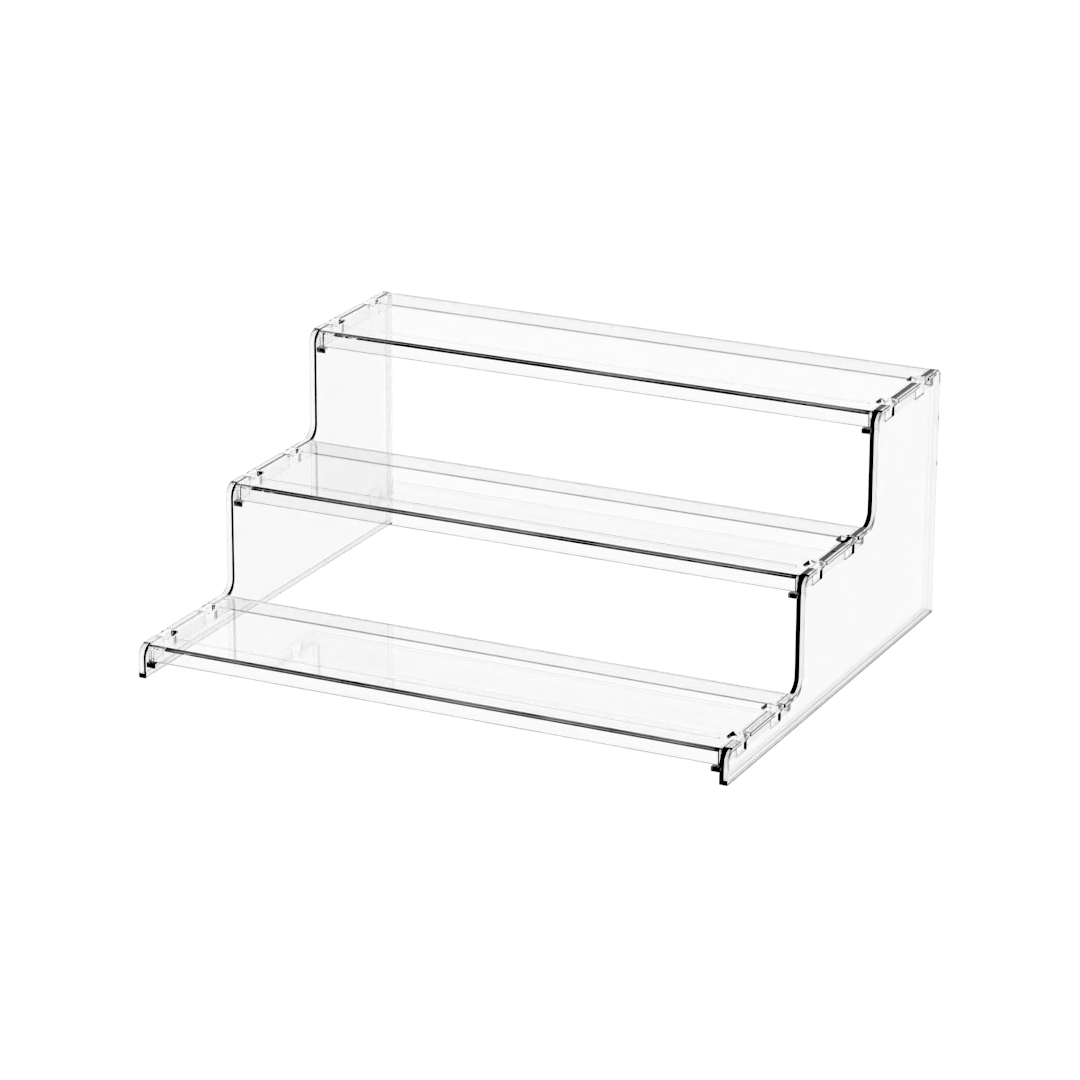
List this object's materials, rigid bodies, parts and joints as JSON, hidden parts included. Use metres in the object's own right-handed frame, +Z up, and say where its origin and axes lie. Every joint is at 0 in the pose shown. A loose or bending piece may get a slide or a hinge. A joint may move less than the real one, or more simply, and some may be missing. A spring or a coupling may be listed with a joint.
{
  "type": "tiered shelf riser",
  "caption": "Clear plastic stepped shelf riser: stair-shaped side panels carry narrow lipped shelves at rising heights, for jars, spices or tins in a cupboard.",
  "frame": {"origin": "on the surface the riser stands on, under the middle of its bounding box", "axes": "+X to the right seen from the front, along the shelves; the low front step faces -Y and the high back faces +Y; +Z up"},
  "size_m": [0.305, 0.254, 0.1261],
  "materials": {
    "clear_plastic_panel": "colourless, transparent, polished moulded plastic",
    "clear_plastic_shelf": "colourless, transparent, polished moulded plastic"
  },
  "bodies": {
    "side_panels": {"left_side_panel": "clear_plastic_panel", "right_side_panel": "clear_plastic_panel"},
    "bottom_shelf": {"bottom_shelf": "clear_plastic_shelf"},
    "middle_shelf": {"middle_shelf": "clear_plastic_shelf"},
    "top_shelf": {"top_shelf": "clear_plastic_shelf"}
  },
  "joints": [
    {"name": "bottom_shelf_lift", "type": "slide", "parent": "side_panels", "child": "bottom_shelf", "axis": [0, 0, 1], "range_m": [0, 0.125]},
    {"name": "middle_shelf_lift", "type": "slide", "parent": "side_panels", "child": "middle_shelf", "axis": [0, 0, 1], "range_m": [0, 0.07]},
    {"name": "top_shelf_lift", "type": "slide", "parent": "side_panels", "child": "top_shelf", "axis": [0, 0, 1], "range_m": [0, 0.02]}
  ]
}
